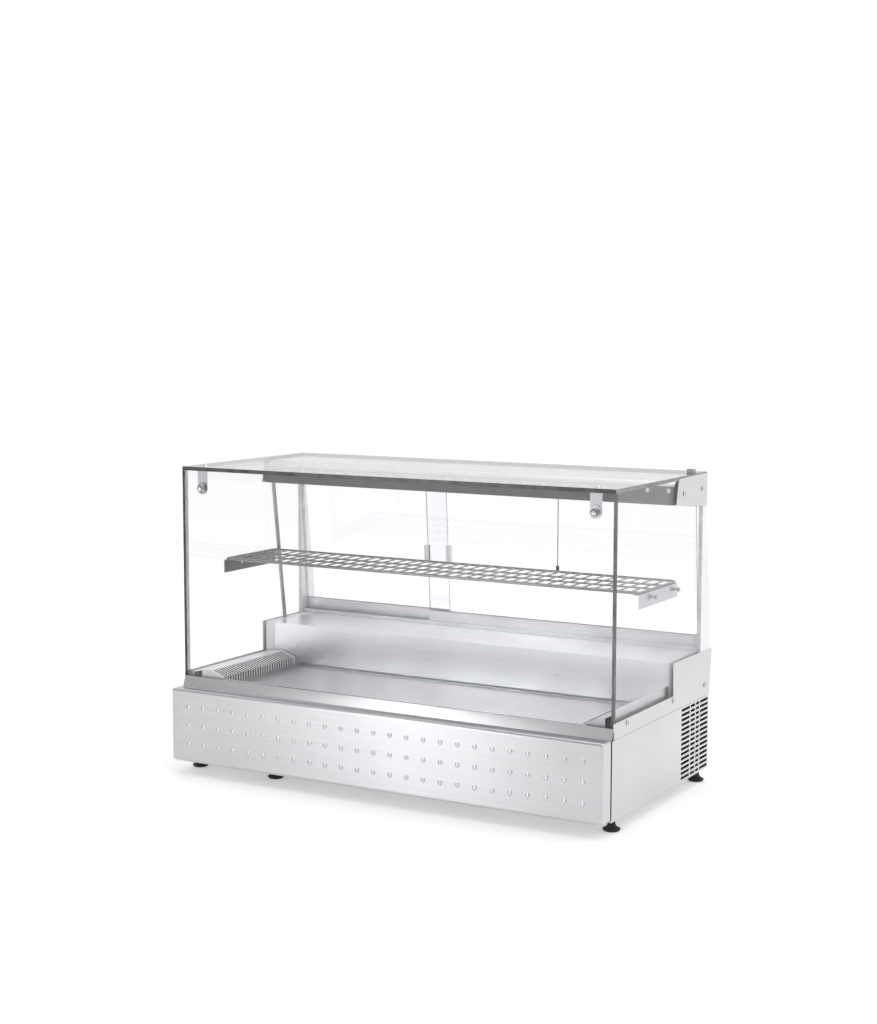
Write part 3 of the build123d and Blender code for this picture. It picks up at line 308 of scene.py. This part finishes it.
# Places in the millimetres of the part's drawing
pane_front = 20                                 # the side panes' front edges lie before this y
slots_front, slots_back = 20, 272               # the grille's slots lie between these y
clip_x, clip_z = 453.0, 577.0                   # axis of the clips' screws
washer_front, washer_back = 8.0, 9.6            # y range of their rubber washers
washer_hole = 8.4                               # radius inside which lie the screws and not the washers
head_x, socket_x = 500.1, 500.6                 # outside these x lie the side screws' rims and sockets
shelf_screws_low, shelf_screws_high = 350, 450  # z range of the shelf brackets' screws

# Pane edges: dark at the front as painted shade, pale as painted light where they meet the posts and ducts
dress("front_glass", painted_shade_edges, lambda c, n: abs(n.y) < toward)
for name, edges in (("side_glass_left", painted_shade_edges), ("side_glass_right", side_edges)):
    dress(name, painted_light_edges, lambda c, n: abs(n.x) < toward)
    dress(name, edges, lambda c, n: n.y < -toward and c.y < pane_front)
dress("top_glass", top_edges, lambda c, n: abs(n.z) < toward)
dress("top_glass", painted_shade_edges, lambda c, n: n.y < -toward)
for name in ("left_door_pane", "right_door_pane"):
    dress(name, painted_light_edges, lambda c, n: abs(n.y) < toward)
# The canopy: painted shade on its front without the dimples, and painted light on what looks up
dress("canopy", shaded_steel, lambda c, n: n.y < -square and abs(n.z) < upward and abs(n.x) < beside_dimple)
dress("canopy", canopy_painted_light, lambda c, n: n.z > upward)
# Whole fittings; the rear posts pale with painted light, the condenser's fins dark with painted shade
for name, material in (("display_tray", tray_steel), ("tray_rails", tray_steel), ("well_liner", tray_steel),
                       ("wiring_tube", tube_metal), ("rear_posts", satin_painted_light), ("left_door_pull", pale_pull),
                       ("right_door_pull", pale_pull), ("front_sill", sill_steel), ("condenser_coil", fins_painted_shade)):
    dress(name, material)
# The left bracket in painted shade, the inner faces and edges of the end plates and cheeks in painted light, and
# painted shade in the grille's slots
dress("shelf_brackets", shaded_steel, lambda c, n: c.x < 0)
dress("canopy_plates", satin_painted_light, lambda c, n: n.x * c.x < 0 or n.y < -toward)
dress("side_cheek_left", satin_painted_light, lambda c, n: n.x > toward or n.y < -toward or n.z > toward)
dress("side_cheek_right", satin_painted_light, lambda c, n: n.x < -toward or n.y < -toward or n.z > toward)
dress("louvred_grille", painted_shade_recess, lambda c, n: abs(n.y) > square and slots_front < c.y < slots_back)
# Screws: washers, and painted shade on rims and sockets
dress("clip_screws", looks["black_rubber"],
      lambda c, n: washer_front <= c.y <= washer_back
      and Vector((abs(c.x) - clip_x, c.z - clip_z)).length > washer_hole)
dress("clip_screws", screw_rim_painted_shade, lambda c, n: c.y < 0 and abs(n.y) < dome_top)
dress("panel_screws", screw_rim_painted_shade,
      lambda c, n: abs(n.x) < dome_top and (abs(c.x) > head_x or shelf_screws_low < c.z < shelf_screws_high))
dress("panel_screws", painted_shade_recess, lambda c, n: abs(n.x) < socket_wall and abs(c.x) > socket_x)


# The hanging sensor's lead, in the millimetres of the part's drawing
probe_x, probe_y, probe_top, probe_drop = 211, 346, 560.805, 141
lead_thickness = 1.8
lead_steps = 5
lead_data = bpy.data.curves.new("sensor_lead", "CURVE")
lead_data.dimensions = "3D"
lead_data.bevel_depth = lead_thickness / 2 / 1000
lead_data.bevel_resolution = 5
lead_data.resolution_u = 12
spline = lead_data.splines.new("NURBS")
route = [at(probe_x, probe_y, probe_top - probe_drop * i / lead_steps) for i in range(lead_steps + 1)]
spline.points.add(len(route) - 1)
for point, place in zip(spline.points, route):
    point.co = (*place, 1)
spline.order_u = 3
spline.use_endpoint_u = True
lead = bpy.data.objects.new("sensor_lead", lead_data)
bpy.context.scene.collection.objects.link(lead)
lead_data.materials.append(looks["black_plastic"])
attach(lead, "case")
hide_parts("probe_lead")


def floor(half_side=14):
    """A pale floor that glows a little, so that it runs into the surroundings with only a faint shadow."""
    mesh = bpy.data.meshes.new("floor")
    corners = [(-1, -1), (1, -1), (1, 1), (-1, 1)]
    mesh.from_pydata([(x * half_side, y * half_side, 0) for x, y in corners], [], [(0, 1, 2, 3)])
    thing = bpy.data.objects.new("floor", mesh)
    bpy.context.scene.collection.objects.link(thing)
    t = Tree("floor")
    t.set(Base_Color=(0.8, 0.8, 0.8, 1), Roughness=0.7, Specular_IOR_Level=0.0,
          Emission_Color=(1, 1, 1, 1), Emission_Strength=0.34)
    mesh.materials.append(t.material)


def soft_box(name, place, target, size, radiance):
    """A rectangular lamp of an even brightness, aimed at a point."""
    data = bpy.data.lights.new(name, "AREA")
    data.shape = "RECTANGLE"
    data.size, data.size_y = size
    data.energy = radiance * pi * size[0] * size[1]
    lamp = bpy.data.objects.new(name, data)
    lamp.location = place
    lamp.rotation_euler = (Vector(target) - Vector(place)).to_track_quat("-Z", "Y").to_euler()
    bpy.context.scene.collection.objects.link(lamp)


def studio():
    """White surroundings, dimmer on the customer's side and to the far left, and brighter on the right.

    The strength is a sum of ramps over the direction: an axis, the ends of the ramp along it, and the strength
    at each end.
    """
    ramps = (("Y", -0.5, 0.1, 0.52, 1.0), ("X", 0.0, 0.8, 0.0, 0.3), ("X", -0.95, -0.7, -0.3, 0.0))
    world = bpy.data.worlds.new("studio")
    world.use_nodes = True
    tree = world.node_tree
    coords = tree.nodes.new("ShaderNodeTexCoord")
    split = tree.nodes.new("ShaderNodeSeparateXYZ")
    tree.links.new(coords.outputs["Generated"], split.inputs["Vector"])
    parts = [map_range(tree, split.outputs[axis], a, b, low, high) for axis, a, b, low, high in ramps]
    total = parts[0]
    for part in parts[1:]:
        total = reckoned(tree, "ADD", total, part)
    tree.nodes["Background"].inputs["Color"].default_value = (1, 1, 1, 1)
    tree.links.new(total, tree.nodes["Background"].inputs["Strength"])
    bpy.context.scene.world = world


floor()
studio()
soft_box("front strip", place=(-1.58, -3.1, 0.93), target=(0, -0.27, 0.1), size=(0.62, 1.1), radiance=6.2)
soft_box("overhead", place=(0.1, 0.2, 3.0), target=(0, 0, 0.3), size=(2.4, 1.8), radiance=1.6)
bpy.context.scene.view_settings.view_transform = "Standard"
